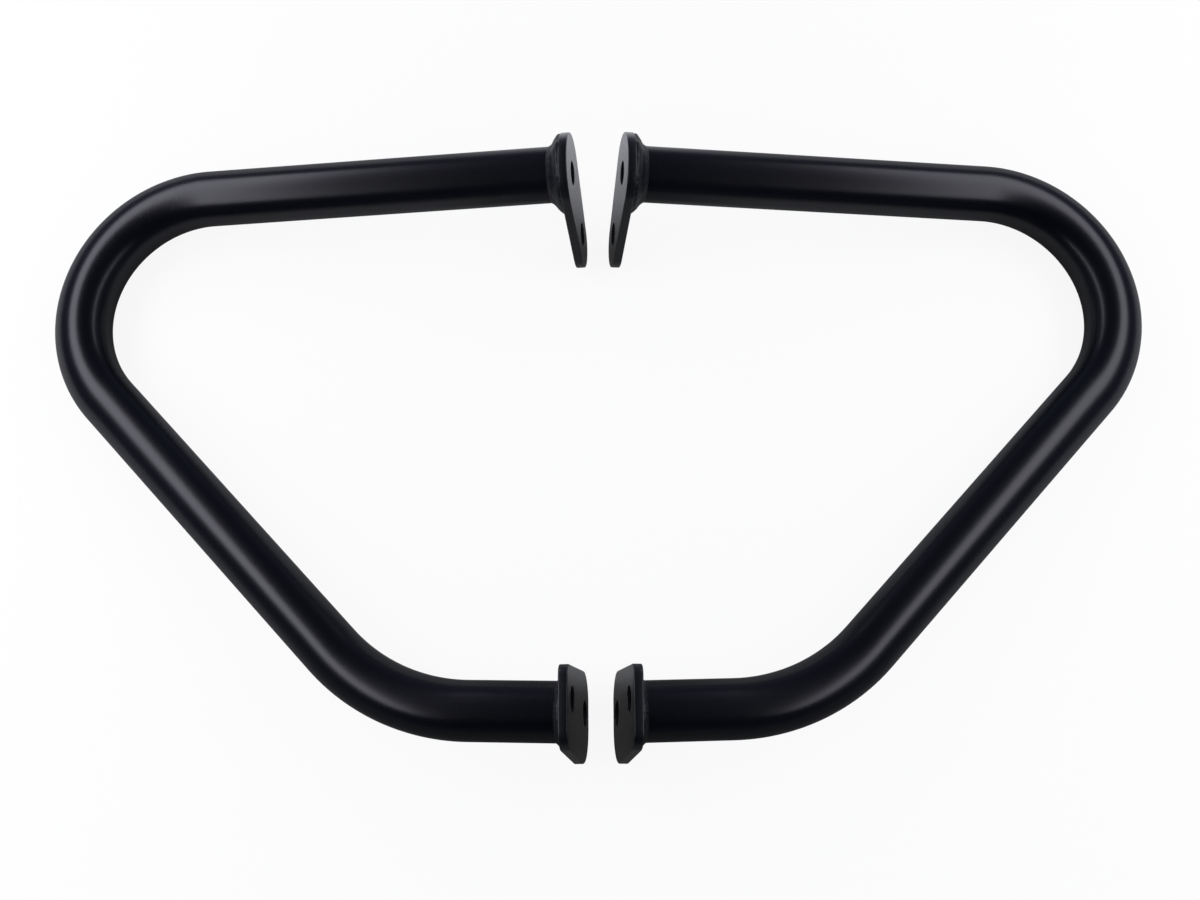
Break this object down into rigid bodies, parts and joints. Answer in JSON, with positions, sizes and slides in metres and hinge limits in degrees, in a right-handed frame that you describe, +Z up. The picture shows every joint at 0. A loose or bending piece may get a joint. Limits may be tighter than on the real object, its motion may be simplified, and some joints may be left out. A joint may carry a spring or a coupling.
{
  "type": "motorcycle crash bars",
  "caption": "Pair of bent steel tube crash bars, left and right, with a drilled bolt-on plate welded to each tube end, painted satin black.",
  "frame": {"origin": "on the floor, midway between the two bars and midway between the front and the back of the pair", "axes": "+X from the left bar to the right bar as seen in the picture, +Y towards the longer upper tubes, which lie away from the viewer, +Z up"},
  "size_m": [0.4996, 0.2792, 0.0635],
  "materials": {
    "tube_paint": "satin",
    "plate_paint": "satin",
    "weld_paint": "satin"
  },
  "bodies": {
    "root": {"left_tube": "tube_paint", "left_upper_plate": "plate_paint", "left_lower_plate": "plate_paint", "left_upper_weld": "weld_paint", "left_lower_weld": "weld_paint", "right_tube": "tube_paint", "right_upper_plate": "plate_paint", "right_lower_plate": "plate_paint", "right_upper_weld": "weld_paint", "right_lower_weld": "weld_paint"}
  },
  "joints": []
}
